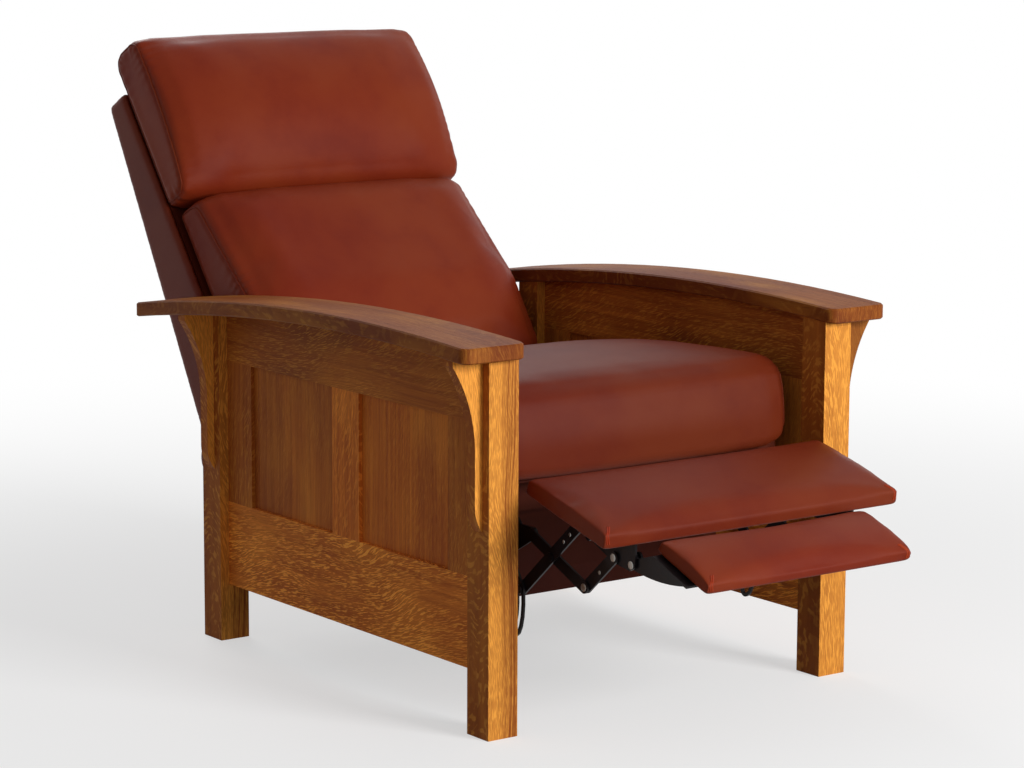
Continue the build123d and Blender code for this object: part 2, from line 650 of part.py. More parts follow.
def seat_side_rail():
    """Deep behind the folded linkage, shallow where it runs out under the nose."""
    x = layer(PLATE_LAYER) + LINK_THICK
    front = SEAT_RAIL_THICK - SEAT_FRONT
    points = [(front, -NOSE_DEEP), (-DEEP_FRONT, -NOSE_DEEP), (-DEEP_FRONT, -SEAT_RAIL_DEEP),
              (SEAT_REAR, -SEAT_RAIL_DEEP), (SEAT_REAR, 0), (front, 0)]
    rail = slab(outline(x, points), SEAT_RAIL_THICK)
    return tilted(rail)


def seat_cross_rail(y0, depth, half):
    return tilted(block(-half, half, y0, y0 + SEAT_RAIL_THICK, -depth, 0))


def skirt_board():
    """The upright board behind the folded footrest, lapped on the back of the deep front rail."""
    half = layer(PLATE_LAYER)
    y0 = SEAT_RAIL_THICK - DEEP_FRONT
    top = SEAT_HEIGHT - SEAT_RAIL_DEEP / 2 - y0 * math.tan(math.radians(SEAT_TILT))
    board = block(-half, half, y0 - SKIRT_THICK, y0 + SKIRT_THICK, SKIRT_LOW, top)
    return board - tilted(block(-half, half, -SEAT_FRONT, y0, -SEAT_HEIGHT, 0))


def deck_cloth():
    """Burlap over the springs, between the cushion and the seat frame."""
    half = layer(PLATE_LAYER) + LINK_THICK + SEAT_RAIL_THICK
    front = SEAT_RAIL_THICK - DEEP_FRONT
    return tilted(block(-half, half, front, SEAT_REAR, CUSHION_GAP, CUSHION_GAP + DECK_CLOTH))


def seat_springs():
    """Flat serpentine wires from the deep front rail to the rear rail."""
    end = SEAT_RAIL_THICK + SPRING_WIRE / 2
    y0, y1 = end - DEEP_FRONT, SEAT_REAR - end
    step = (y1 - y0) / SPRING_LOOPS
    shapes = []
    spacing = (LINK_INNER - SPRING_MARGIN) * 2 / (SPRING_COUNT - 1)
    for n in range(SPRING_COUNT):
        middle = (n - (SPRING_COUNT - 1) / 2) * spacing
        points = [(middle, y0)]
        for loop in range(SPRING_LOOPS):
            side = SPRING_SWING / 2 * (1 if loop % 2 else -1)
            y = y0 + step * loop
            points += [(middle + side, y + step / 4), (middle + side, y + step * 3 / 4)]
        points.append((middle, y1))
        wire = trace(Polyline(points), line_width=SPRING_WIRE)
        shapes.append(Pos(0, 0, -SPRING_CLIP) * extrude(wire, amount=SPRING_WIRE))
    return Compound([tilted(s) for s in shapes])


def cushion_loft(half, draw, crown, face):
    """A crowned cushion with drawn-in ends, from one side to the other through its side views."""
    ends = [(-place, size, rise) for place, size, rise in reversed(CUSHION_SHARES[1:])]
    return loft([face(half * place_share, draw * draw_share, crown * crown_share)
                 for place_share, draw_share, crown_share in (*ends, *CUSHION_SHARES)], ruled=True)


def boxed_face(x, inset, crown):
    """One closed side view of the seat cushion, drawn in and crowned, its front lapped over the rail."""
    front, back = -CUSHION_FRONT + inset, CUSHION_REAR - inset
    rest = DECK_CLOTH + CUSHION_GAP * 2
    low, high = rest + inset, rest + CUSHION_THICK - inset
    nose, heel = CUSHION_NOSE - inset, CUSHION_HEEL - inset
    lip = CUSHION_LIP * (1 - LIP_SHARE * inset / CUSHION_DRAW)
    edge, behind = lip * LIP_EDGE_SHARE, -SEAT_FRONT - CUSHION_GAP
    corners = [(front, low - lip, heel, 0), (behind, low - lip, edge, 0), (behind, low, CUSHION_GAP, 0),
               (back, low, heel, 0), (back, high, heel, crown),
               (front, high, nose, crown * NOSE_BULGE_SHARE)]
    return soft_face(x, corners, lambda y, z: (y, z))


def soft_face(x, corners, place):
    """A closed side view from corners of (a, b, rounding, bulge of the next side), a turning to b."""
    arcs = []
    for n, (a, b, rounding, bulge) in enumerate(corners):
        before, after = corners[n - 1], corners[(n + 1) % len(corners)]
        back = Vector(before[0] - a, before[1] - b).normalized()
        ahead = Vector(after[0] - a, after[1] - b).normalized()
        half = math.acos(back.dot(ahead)) / 2
        run, sag = rounding / math.tan(half), rounding / math.sin(half) - rounding
        spot = Vector(a, b)
        arcs.append((spot + back * run, spot + (back + ahead).normalized() * sag, spot + ahead * run))
    edges = []
    for n, (start, middle, end) in enumerate(arcs):
        edges.append(ThreePointArc(*[(x, *place(v.X, v.Y)) for v in (start, middle, end)]))
        following, bulge = arcs[(n + 1) % len(arcs)][0], corners[n][3]
        side = following - end
        out = Vector(side.Y, -side.X).normalized() * bulge
        spots = [(x, *place(v.X, v.Y)) for v in (end, (end + following) / 2 + out, following)]
        edges.append(ThreePointArc(*spots) if bulge else Line(spots[0], spots[-1]))
    return make_face(edges)


# Reclining back

def back_point(up, out):
    """A side-view point on the back: up along its rear face, out square to it."""
    a = math.radians(BACK_TILT)
    return (BACK_FOOT_Y + up * math.sin(a) - out * math.cos(a),
            BACK_FOOT_Z + up * math.cos(a) + out * math.sin(a))


def back_depth(up):
    """Depth of the back's sides at a height, deeper towards the foot."""
    return BACK_FOOT_DEEP + (BACK_TOP_DEEP - BACK_FOOT_DEEP) * up / BACK_TALL


def back_outline(x, pairs):
    return outline(x, [back_point(up, out) for up, out in pairs])


def back_cover():
    """The padded outside back with its side wings, and the roll along its foot."""
    low = LUMBAR_LOW
    outer = slab(back_outline(-BACK_HALF, [(low, 0), (BACK_TALL, 0), (BACK_TALL, back_depth(BACK_TALL)),
                                           (low, back_depth(low))]), BACK_HALF * 2)
    half = BACK_HALF - BACK_COVER
    top = BACK_TALL - BACK_COVER
    beyond = back_depth(low) + OVERRUN
    inner = slab(back_outline(-half, [(low - OVERRUN, BACK_COVER), (top, BACK_COVER), (top, beyond),
                                      (low - OVERRUN, beyond)]), half * 2)
    roll = disc(-BACK_HALF, BACK_HALF * 2, back_point(-BACK_ROLL_DROP, 0), BACK_ROLL)
    roll = chamfer(roll.edges(), BACK_COVER)
    web = slab(back_outline(-BACK_HALF, [(-BACK_ROLL_DROP, 0), (low, 0), (low, BACK_COVER),
                                         (-BACK_ROLL_DROP, BACK_COVER)]), BACK_HALF * 2)
    return outer - inner + web + roll


def back_stile():
    """A side board of the back's frame, tapered like the wings."""
    x = back_bracket_x() + HINGE_PLATE
    low, top = BACK_COVER, BACK_TALL - BACK_COVER
    shy = BACK_DECK
    points = [(low, BACK_COVER), (top, BACK_COVER), (top, back_depth(top) - shy), (low, back_depth(low) - shy)]
    return slab(back_outline(x, points), BACK_STILE)


def back_rail(low):
    """A board across the back's frame between the stiles, at one height."""
    half = back_bracket_x() + HINGE_PLATE
    points = [(low, BACK_COVER), (low + BACK_RAIL, BACK_COVER), (low + BACK_RAIL, BACK_COVER + BACK_STILE),
              (low, BACK_COVER + BACK_STILE)]
    return slab(back_outline(-half, points), half * 2)


def back_deck():
    """The thin panel on the front of the frame that the pillows lean on."""
    half = BACK_HALF - BACK_COVER
    low, top = BACK_COVER, BACK_TALL - BACK_COVER
    points = [(low, back_depth(low) - BACK_DECK), (top, back_depth(top) - BACK_DECK), (top, back_depth(top)),
              (low, back_depth(low))]
    return slab(back_outline(-half, points), half * 2)


def back_bracket_x():
    """Inner face of the back's hinge bracket, beside the hinge plate on the seat."""
    return layer(PLATE_LAYER) + LINK_THICK + SEAT_RAIL_THICK + HINGE_PLATE + LINK_GAP


def back_bracket():
    """A steel arm from the hinge up the inside of the back's stile."""
    x = back_bracket_x()
    hinge = (HINGE_Y, HINGE_Z)
    foot, mid = BACK_COVER * 2, BACK_FOOT_DEEP / 2
    reach_up = foot + BACK_RAIL * 2
    shy = back_depth(reach_up) - BACK_DECK - LINK_GAP
    corners = [(foot, mid), (reach_up, mid), (reach_up, shy), (foot, shy)]
    plate = slab(back_outline(x, corners), HINGE_PLATE) + strap_between(x, hinge, back_point(HINGE_BOSS, mid))
    return plate - disc(x - LINK_GAP, HINGE_PLATE + LINK_GAP * 2, hinge, HINGE_BOLT + RIVET_CLEAR)


def strap_between(x, a, b):
    """A hinge arm with round ends."""
    angle = math.degrees(math.atan2(b[1] - a[1], b[0] - a[0]))
    length = math.hypot(b[0] - a[0], b[1] - a[1])
    bar = Pos(x + HINGE_PLATE / 2, (a[0] + b[0]) / 2, (a[1] + b[1]) / 2)
    bar = bar * Rot(angle, 0, 0) * Box(HINGE_PLATE, length, HINGE_BOSS * 2)
    return bar + disc(x, HINGE_PLATE, a, HINGE_BOSS) + disc(x, HINGE_PLATE, b, HINGE_BOSS)


def hinge_plate():
    """The plate on the seat's side rail that carries the back's hinge bolt."""
    x = layer(PLATE_LAYER) + LINK_THICK + SEAT_RAIL_THICK
    hinge = (HINGE_Y, HINGE_Z)
    slope = math.tan(math.radians(SEAT_TILT))
    rear, front = SEAT_REAR, SEAT_REAR - SEAT_RAIL_DEEP
    deck = [SEAT_HEIGHT - y * slope for y in (front, rear)]
    low = [d - SEAT_RAIL_DEEP / 2 for d in deck]
    points = [(front, low[0]), (rear, low[1]), (HINGE_Y + HINGE_BOSS, HINGE_Z),
              (HINGE_Y - HINGE_BOSS, HINGE_Z), (front, deck[0])]
    plate = slab(outline(x, points), HINGE_PLATE) + disc(x, HINGE_PLATE, hinge, HINGE_BOSS)
    bolt = disc(x, HINGE_PLATE * 2 + LINK_GAP, hinge, HINGE_BOLT)
    return plate + bolt + disc(x + HINGE_PLATE * 2 + LINK_GAP, SCREW_HEAD_THICK, hinge, HINGE_HEAD)


def head_face(x, inset, crown):
    """The head pillow's side view: flat on the back, lapped over its top, crowned in front."""
    foot, top = PILLOW_SPLIT + PILLOW_GAP + inset, HEAD_TOP - inset
    rear = back_depth(foot) + CUSHION_GAP + inset
    rear_top = back_depth(top) + CUSHION_GAP + inset
    corners = [(foot, rear, PILLOW_EDGE, 0), (top, rear_top, PILLOW_TURN, 0),
               (top, HEAD_SIDE - inset, PILLOW_TURN, crown), (foot, HEAD_FOOT - inset, PILLOW_TURN, 0)]
    return soft_face(x, corners, back_point)


def lumbar_face(x, inset, crown):
    """The lower pillow's side view, thickest at its foot."""
    foot, top = LUMBAR_LOW + inset, PILLOW_SPLIT - inset
    rear, rear_top = back_depth(foot) + CUSHION_GAP + inset, back_depth(top) + CUSHION_GAP + inset
    draw = crown - HEAD_CROWN - inset
    corners = [(foot, rear, PILLOW_EDGE, 0), (top, rear_top, PILLOW_EDGE, 0),
               (top, LUMBAR_TOP + draw, PILLOW_TURN, 0),
               (LUMBAR_MIDDLE_UP, LUMBAR_MIDDLE + draw, LUMBAR_BEND, 0),
               (foot, LUMBAR_FOOT + draw, PILLOW_TURN, 0)]
    return soft_face(x, corners, back_point)


NODES = {}


def save(name, shape):
    """Keep one named piece, moved to the chair's own origin."""
    NODES[name] = Pos(0, -ORIGIN_BACK, 0) * shape


def export_all():
    """Write each named piece to its own file."""
    for name, shape in NODES.items():
        shape.label = name
        export_step(shape, f"parts/{name}.step")


os.makedirs("parts", exist_ok=True)

for front in (True, False):
    end = "front" if front else "rear"
    post, panel, corbel = right_post(front), right_panel(front), right_corbel(front)
    for kind, shape in (("post", post), ("panel", panel), ("corbel", corbel)):
        save(f"right_{end}_{kind}", shape)
        save(f"left_{end}_{kind}", mirrored(shape))
for name in stile_spans():
    stile = right_stile(name)
    save(f"right_{name}", stile)
    save(f"left_{name}", mirrored(stile))
for name, shape in (("top_rail", right_rail(True)), ("bottom_rail", right_rail(False)), ("arm", right_arm()),
                    ("mechanism_plate", mechanism_plate()), ("seat_side_rail", seat_side_rail())):
    save(f"right_{name}", shape)
    save(f"left_{name}", mirrored(shape))

for name, shape in (("guide_plates", guide_plate()), ("upper_links", upper_link()),
                    ("lower_links", lower_link()), ("riser_links", riser_link()),
                    ("footrest_brackets", footrest_bracket()), ("drive_links", drive_link()),
                    ("flipper_arms", flipper_arm())):
    save(name, Compound([shape, mirrored(shape)]))

save("front_base_rail", base_rail(True))
save("rear_base_rail", base_rail(False))
save("base_screws", Compound([base_screws(), mirrored(base_screws())]))
save("seat_front_rail", seat_cross_rail(-DEEP_FRONT, SEAT_RAIL_DEEP, layer(PLATE_LAYER)))
save("seat_rear_rail", seat_cross_rail(SEAT_REAR - SEAT_RAIL_THICK, SEAT_RAIL_DEEP, layer(PLATE_LAYER)))
save("seat_nose_rail", seat_cross_rail(-SEAT_FRONT, NOSE_DEEP, NOSE_HALF))
save("front_skirt", skirt_board())
save("seat_springs", seat_springs())
save("seat_deck_cloth", deck_cloth())
save("seat_cushion", tilted(cushion_loft(CUSHION_HALF, CUSHION_DRAW, CUSHION_CROWN, boxed_face)))

core, pad = padded_board(BOARD_HALF, BOARD_LONG, BOARD_THICK, board_point, BOARD_CORE)
save("footrest_board", core)
save("footrest_pad", pad)
core, pad = padded_board(FLIP_HALF, FLIP_LONG, FLIP_THICK, flip_point, FLIP_CORE)
save("flipper_board", core)
save("flipper_pad", pad)

save("right_back_stile", back_stile())
save("left_back_stile", mirrored(back_stile()))
for name, shape in (("back_brackets", back_bracket()), ("hinge_plates", hinge_plate())):
    save(name, Compound([shape, mirrored(shape)]))
save("back_cover", back_cover())
save("back_top_rail", back_rail(BACK_TALL - BACK_COVER - BACK_RAIL))
save("back_foot_rail", back_rail(BACK_COVER))
save("back_deck", back_deck())
save("head_pillow", cushion_loft(PILLOW_HALF, PILLOW_DRAW, HEAD_CROWN, head_face))
save("lower_pillow", cushion_loft(PILLOW_HALF, PILLOW_DRAW, HEAD_CROWN, lumbar_face))

export_all()
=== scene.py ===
import math

import bmesh
import bpy
import numpy as np
from mathutils import Matrix, Vector
from mathutils.bvhtree import BVHTree
from mathutils.kdtree import KDTree


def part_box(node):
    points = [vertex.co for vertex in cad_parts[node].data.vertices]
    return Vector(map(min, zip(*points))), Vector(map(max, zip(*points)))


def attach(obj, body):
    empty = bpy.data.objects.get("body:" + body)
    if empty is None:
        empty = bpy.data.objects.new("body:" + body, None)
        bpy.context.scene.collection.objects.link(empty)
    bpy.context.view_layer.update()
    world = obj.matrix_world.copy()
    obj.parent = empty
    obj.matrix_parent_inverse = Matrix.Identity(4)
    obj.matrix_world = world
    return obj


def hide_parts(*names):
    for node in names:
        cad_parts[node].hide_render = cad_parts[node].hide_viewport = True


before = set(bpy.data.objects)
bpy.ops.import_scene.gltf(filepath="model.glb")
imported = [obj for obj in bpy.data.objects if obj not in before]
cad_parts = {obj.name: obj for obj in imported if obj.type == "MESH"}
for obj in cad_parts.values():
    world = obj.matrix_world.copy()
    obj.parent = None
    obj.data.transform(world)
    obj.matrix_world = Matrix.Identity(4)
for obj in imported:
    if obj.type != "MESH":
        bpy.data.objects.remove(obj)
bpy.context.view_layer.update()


# Studio
# A white sweep under and behind the chair, one broad soft lamp in front of it on the camera's right,
# and a weaker one behind it that draws the top edges. The floor throws back the light of a grey one.

FLOOR_SIZE = 60.0
FLOOR_PAINT = (0.42, 0.42, 0.42, 1)     # what it throws back on the chair
FLOOR_SEEN = (0.93, 0.93, 0.93, 1)
SWEEP_WHITE = (1, 1, 1, 1)
SHADOW_SOFTNESS = 0.55                  # share of plain white in the floor beside the chair
SWEEP_NEAR, SWEEP_FAR = 0.9, 3.2        # metres from the chair over which the floor turns white
# Name, place, width of the square and watts
LAMPS = (
    ("key_lamp", (1.3, -4.9, 2.0), 1.8, 240),
    ("rear_lamp", (0.8, 3.6, 2.8), 1.8, 48),
)
AIM = (0, 0, 0.5)
AIR_LIGHT = 0.27                        # strength of the white light from all round


def sockets_of(node, values):
    """Sets a node's inputs by name or number, each with a plain value or a link from a Wire."""
    for name, value in values.items():
        socket = node.inputs[name]
        if isinstance(value, Wire):
            node.id_data.links.new(value.socket, socket)
        else:
            socket.default_value = value


class Wire:
    """An output in a material, which adds and multiplies like a number."""

    def __init__(self, socket):
        self.socket = socket

    def node(self, kind, settings, values, out=0):
        """Any other node in the same material: its type, its settings, then what goes into it."""
        made = self.socket.id_data.nodes.new(kind)
        for name, value in settings.items():
            setattr(made, name, value)
        sockets_of(made, values)
        return Wire(made.outputs[out])

    def sum(self, operation, first, second=0.0):
        return self.node("ShaderNodeMath", {"operation": operation}, {0: first, 1: second})

    def __add__(self, other):
        return self.sum("ADD", self, other)

    def __radd__(self, other):
        return self.sum("ADD", other, self)

    def __sub__(self, other):
        return self.sum("SUBTRACT", self, other)

    def __rsub__(self, other):
        return self.sum("SUBTRACT", other, self)

    def __mul__(self, other):
        return self.sum("MULTIPLY", self, other)

    def __rmul__(self, other):
        return self.sum("MULTIPLY", other, self)

    def larger(self, other):
        return self.sum("MAXIMUM", self, other)

    def size(self):
        return self.sum("ABSOLUTE", self)

    def sine(self):
        return self.sum("SINE", self)

    def step(self, low, high):
        """0 below low, 1 above high, smooth between."""
        return self.node("ShaderNodeMapRange", {"interpolation_type": "SMOOTHSTEP"},
                         {"Value": self, "From Min": low, "From Max": high})

    def vector(self, x, y, z):
        return self.node("ShaderNodeCombineXYZ", {}, {0: x, 1: y, 2: z})

    def noise(self, place, scale=1.0, detail=2.0, rough=0.5):
        """Cloudy variation from 0 to 1 at a place."""
        return self.node("ShaderNodeTexNoise", {},
                         {"Vector": place, "Scale": scale, "Detail": detail, "Roughness": rough})

    def mix(self, first, second):
        """The first colour at 0 and the second at 1."""
        return self.node("ShaderNodeMix", {"data_type": "RGBA"}, {0: self, 6: first, 7: second}, out=2)


def looked_at(nodes):
    """1 for rays from the camera, mirrors and glass, and 0 for light on the chair."""
    path = nodes.new("ShaderNodeLightPath").outputs
    seen = Wire(path["Is Camera Ray"]).larger(Wire(path["Is Glossy Ray"]))
    return seen.larger(Wire(path["Is Transmission Ray"]))


def link_up(name, data):
    """A new object in the scene."""
    piece = bpy.data.objects.new(name, data)
    bpy.context.scene.collection.objects.link(piece)
    return piece


bm = bmesh.new()
bmesh.ops.create_grid(bm, x_segments=1, y_segments=1, size=FLOOR_SIZE / 2)
floor_mesh = bpy.data.meshes.new("floor")
bm.to_mesh(floor_mesh)
bm.free()
floor = link_up("floor", floor_mesh)
floor_paint = bpy.data.materials.new("floor_paint")
floor_paint.use_nodes = True
paint = floor_paint.node_tree.nodes
seen = looked_at(paint)
ground = Wire(paint.new("ShaderNodeTexCoord").outputs["Object"])
away = ground.node("ShaderNodeVectorMath", {"operation": "LENGTH"}, {0: ground}, out="Value")
plain = seen * (away.step(SWEEP_NEAR, SWEEP_FAR) * (1 - SHADOW_SOFTNESS) + SHADOW_SOFTNESS)
matt = paint["Principled BSDF"]
sockets_of(matt, {"Base Color": seen.mix(FLOOR_PAINT, FLOOR_SEEN), "Roughness": 0.9,
                  "Specular IOR Level": 0.0})
white = ground.node("ShaderNodeEmission", {}, {"Color": SWEEP_WHITE, "Strength": 1.0})
sweep = ground.node("ShaderNodeMixShader", {}, {0: plain, 1: Wire(matt.outputs[0]), 2: white})
sockets_of(paint["Material Output"], {"Surface": sweep})
floor.data.materials.append(floor_paint)

for lamp_name, place, size, watts in LAMPS:
    lamp_data = bpy.data.lights.new(lamp_name, "AREA")
    lamp_data.shape = "SQUARE"
    lamp_data.size = size
    lamp_data.energy = watts
    lamp = link_up(lamp_name, lamp_data)
    lamp.location = place
    lamp.rotation_mode = "QUATERNION"
    lamp.rotation_quaternion = (Vector(place) - Vector(AIM)).to_track_quat("Z", "Y")

world = bpy.data.worlds.new("studio")
bpy.context.scene.world = world
world.use_nodes = True
sky = world.node_tree.nodes
air = sky["Background"]
sockets_of(air, {"Color": SWEEP_WHITE, "Strength": AIR_LIGHT})
seen = looked_at(sky)
backdrop = seen.node("ShaderNodeBackground", {}, {"Color": SWEEP_WHITE, "Strength": 1.0})
both = seen.node("ShaderNodeMixShader", {}, {0: seen, 1: Wire(air.outputs[0]), 2: backdrop})
sockets_of(sky["World Output"], {"Surface": both})
bpy.context.scene.view_settings.view_transform = "Standard"


# Camera
# Stands in front of the chair on its near side, 1.4 m up and 5.6 m off, with a long lens, and looks
# slightly down, as in the photograph.

CAMERA_PLACE = (-3.3016, -4.5134, 1.4087)
CAMERA_TURN = -36.389      # degrees from looking square at the chair's front
CAMERA_DOWN = 9.544        # degrees below level
CAMERA_ROLL = 0.247
CAMERA_LENS = 114.93
CAMERA_SENSOR = 36.0

camera_data = bpy.data.cameras.new("camera")
camera_data.lens = CAMERA_LENS
camera_data.sensor_width = CAMERA_SENSOR
camera = link_up("camera", camera_data)
camera.matrix_world = (
    Matrix.Translation(CAMERA_PLACE)
    @ Matrix.Rotation(math.radians(CAMERA_TURN), 4, "Z")
    @ Matrix.Rotation(math.radians(90 - CAMERA_DOWN), 4, "X")
    @ Matrix.Rotation(math.radians(CAMERA_ROLL), 4, "Z")
)
bpy.context.scene.camera = camera


# Side frames
# Quartersawn white oak, stained brown and lacquered: square posts, rails tenoned into them,
# flat panels held in grooves, and bowed arms glued on top with corbels under their overhang.

def stain(red, green, blue):
    """A colour of 0 to 255 as on a screen, in the renderer's own light values."""
    shares = [c / 255 for c in (red, green, blue)]
    return (*[((s + 0.055) / 1.055) ** 2.4 if s > 0.04045 else s / 12.92 for s in shares], 1)


def new_paint(name):
    """A material, its shader and the place on the piece as three Wires."""
    material = bpy.data.materials.new(name)
    material.use_nodes = True
    shader = material.node_tree.nodes["Principled BSDF"]
    spot = Wire(material.node_tree.nodes.new("ShaderNodeTexCoord").outputs["Object"])
    axes = spot.socket.id_data.nodes.new("ShaderNodeSeparateXYZ")
    sockets_of(axes, {0: spot})
    return material, shader, [Wire(out) for out in axes.outputs]


def bump(height, distance, strength=1.0):
    return height.node("ShaderNodeBump", {}, {"Height": height, "Distance": distance, "Strength": strength})


OAK_DEEP = (118, 54, 20)
OAK_MIDDLE = (168, 96, 36)
OAK_GOLD = (222, 150, 62)
OAK_PORE = (78, 32, 12)
OAK_MAROON = (96, 34, 18)
# How fine each figure is, per metre
PORE_FINE = 900.0          # across the grain
RING_FINE = 130.0
FLECK_LONG = 60.0          # along the grain
FLECK_FINE = 640.0
CATHEDRAL_FINE = 330.0
OAK_GLOSS = 0.08
OAK_ROUGH = 0.52


def oak(name, along, across, shift, flecks, gold=0.35, slope=0.22, dark=1.0, front=0.0, strip=None,
        maroon=0.0, arches=0.0):
    """Quartersawn oak with its grain along one axis and its growth rings stacked along another. Every
    colour is multiplied by dark, which for the corbels is painted light and shade. The front faces of a
    piece may be painted paler by a share, as painted light from ahead, and such a piece may have a strip
    of plain-sawn grain on them past one place across it."""
    material, shader, place = new_paint(name)
    deep = 3 - along - across
    u, v, w = place[along] + shift, place[across] + shift * 0.37, place[deep] + shift * 0.61
    deep_oak, middle_oak, gold_oak, pore_oak = [stain(*[c * dark for c in shade])
                                                for shade in (OAK_DEEP, OAK_MIDDLE, OAK_GOLD, OAK_PORE)]

    # Growth rings and pores, both swaying a little along the board
    sway = u.noise(u.vector(u * 3.0, v * 9.0, w * 9.0), detail=1.0) - 0.5
    bent = v + sway * 0.02
    rings = u.noise(u.vector(u * 2.2, bent * RING_FINE, w * RING_FINE * 0.35), detail=3.0, rough=0.6)
    pores = u.noise(u.vector(u * 26.0, bent * PORE_FINE, w * PORE_FINE), detail=1.0)
    cloud = u.noise(u.vector(u * 4.0, v * 10.0, w * 10.0), detail=2.0)
    colour = (rings * 0.45 + cloud * 0.3 + pores * 0.25).step(0.25, 0.75).mix(deep_oak, middle_oak)
    if maroon:
        pool = u.noise(u.vector(u * 2.6, v * 7.0, w * 7.0), detail=2.0).step(0.42, 0.62)
        colour = (pool * maroon).mix(colour, stain(*OAK_MAROON))

    # Ray flecks: short pale ribbons that slant across the grain, in patches
    slant = v + u * slope + sway * 0.09
    ribbon = u.noise(u.vector(u * FLECK_LONG, slant * FLECK_FINE, w * FLECK_LONG), detail=1.5)
    patch = u.noise(u.vector(u * 5.0, v * 14.0, w * 14.0), detail=2.0)
    fleck = ribbon.step(0.5, 0.64) * patch.step(0.25, 0.55) * flecks
    pale = fleck * 0.75 + cloud.step(0.45, 0.8) * gold * 0.4
    # Painted light: faces turned to the front are made paler by the share front, as if lit by a lamp ahead,
    # with a little of the ribbon figure in it
    if front:
        facing = u.node("ShaderNodeTexCoord", {}, {}, out="Normal")
        ahead = u.node("ShaderNodeSeparateXYZ", {}, {0: facing}, out=1).step(-0.4, -0.8)
        pale = pale + ahead * (ribbon.step(0.42, 0.6) * 0.4 + 0.6) * front
    colour = pale.mix(colour, gold_oak)

    # Dark arches of plain-sawn grain
    arch = u.noise(u.vector(u * 2.4, bent * CATHEDRAL_FINE + sway * 9.0, w), detail=1.0).step(0.5, 0.62)
    if arches:
        colour = (arch * arches).mix(colour, deep_oak)
    if strip is not None:
        edge = (place[0] + sway * 0.012 - strip).step(0.0, 0.003) * ahead
        colour = (edge * (0.3 + arch * 0.55)).mix(colour, deep_oak)

    pore = pores.step(0.6, 0.74) * rings.step(0.62, 0.38)
    height = fleck * 0.4 - pore + rings * 0.3
    sockets_of(shader, {"Base Color": (pore * 0.6).mix(colour, pore_oak),
                        "Roughness": OAK_ROUGH - fleck * 0.08 + pore * 0.2,
                        "Normal": bump(height, 0.0004, 0.5), "Specular IOR Level": OAK_GLOSS})
    return material


def dress(material, *names):
    """Puts a material on CAD nodes."""
    for name in names:
        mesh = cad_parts[name].data
        mesh.materials.clear()
        mesh.materials.append(material)


X, Y, Z = range(3)
SIDES = ("left", "right")
ENDS = ("front", "rear")

POST_STRIP = (-0.352, 0.398)     # where the plain-sawn strip begins on the front of each post
CORBEL_LIGHT_AND_SHADE = ((1.12, 1.0), (0.86, 0.0))     # painted light and shade: how bright the left and right ones are, the right ones darker as shade, and how much paler their fronts are painted as lit
PANEL_DARK = {"front": 1.34, "rear": 1.22}
SIDE_SHIFT, END_SHIFT = 0.83, 0.31            # so that no two boards are cut from the same place

for side, strip, (corbel_light_level, corbel_lit_front) in zip(SIDES, POST_STRIP, CORBEL_LIGHT_AND_SHADE):
    turn = SIDES.index(side) * SIDE_SHIFT
    for end in ENDS:
        here = turn + ENDS.index(end) * END_SHIFT
        # The posts' front faces are painted paler by front, as painted light from ahead
        dress(oak(f"{side}_{end}_post_oak", Z, X, here, 0.6, slope=0.08, dark=1.06, front=0.7, strip=strip),
              f"{side}_{end}_post")
        dress(oak(f"{side}_{end}_panel_oak", Z, Y, here + 0.5, 0.15, dark=PANEL_DARK[end], maroon=0.3,
                  arches=0.2), f"{side}_{end}_panel")
        # Painted light and shade: the left corbels are brighter with painted lit fronts, and the right ones
        # darker as painted shade
        dress(oak(f"{side}_{end}_corbel_oak", Z, X, here + 0.17, 0.5, dark=corbel_light_level, front=corbel_lit_front),
              f"{side}_{end}_corbel")
        dress(oak(f"{side}_{end}_stile_oak", Z, Y, here + 0.7, 0.3, dark=1.14), f"{side}_{end}_stile")
    dress(oak(f"{side}_middle_stile_oak", Z, Y, turn + 0.24, 0.35, dark=1.42), f"{side}_middle_stile")
    dress(oak(f"{side}_top_rail_oak", Y, Z, turn + 0.41, 0.5, dark=1.14, maroon=0.5, arches=0.25),
          f"{side}_top_rail")
    dress(oak(f"{side}_bottom_rail_oak", Y, Z, turn + 0.63, 0.8, dark=1.36), f"{side}_bottom_rail")
    dress(oak(f"{side}_arm_oak", Y, X, turn + 0.09, 0.3, gold=1.0, slope=0.05, dark=0.94, maroon=0.6,
              arches=0.5), f"{side}_arm")
dress(oak("cross_rail_oak", X, Z, 0.2, 0.6), "front_base_rail", "rear_base_rail")


# Inner frames of the seat and back
# Poplar boards of the seat and back frames, glued at their corners, and the plywood
# boards of the footrest. All are unfinished, and lie under the upholstery.

GRAIN_ALONG, GRAIN_ACROSS = 3.0, 110.0        # how fine, per metre


def raw_wood(name, along, pale, dark):
    """Unfinished timber with soft straight grain."""
    material, shader, place = new_paint(name)
    stretched = [axis * (GRAIN_ALONG if n == along else GRAIN_ACROSS) for n, axis in enumerate(place)]
    grain = place[0].noise(place[0].vector(*stretched), detail=3.0)
    sockets_of(shader, {"Base Color": grain.step(0.3, 0.7).mix(stain(*dark), stain(*pale)),
                        "Roughness": 0.75 - grain * 0.1, "Normal": bump(grain, 0.0003, 0.4),
                        "Specular IOR Level": 0.2})
    return material


POPLAR = ((196, 170, 122), (158, 130, 88))
PLYWOOD = ((182, 146, 98), (136, 100, 62))

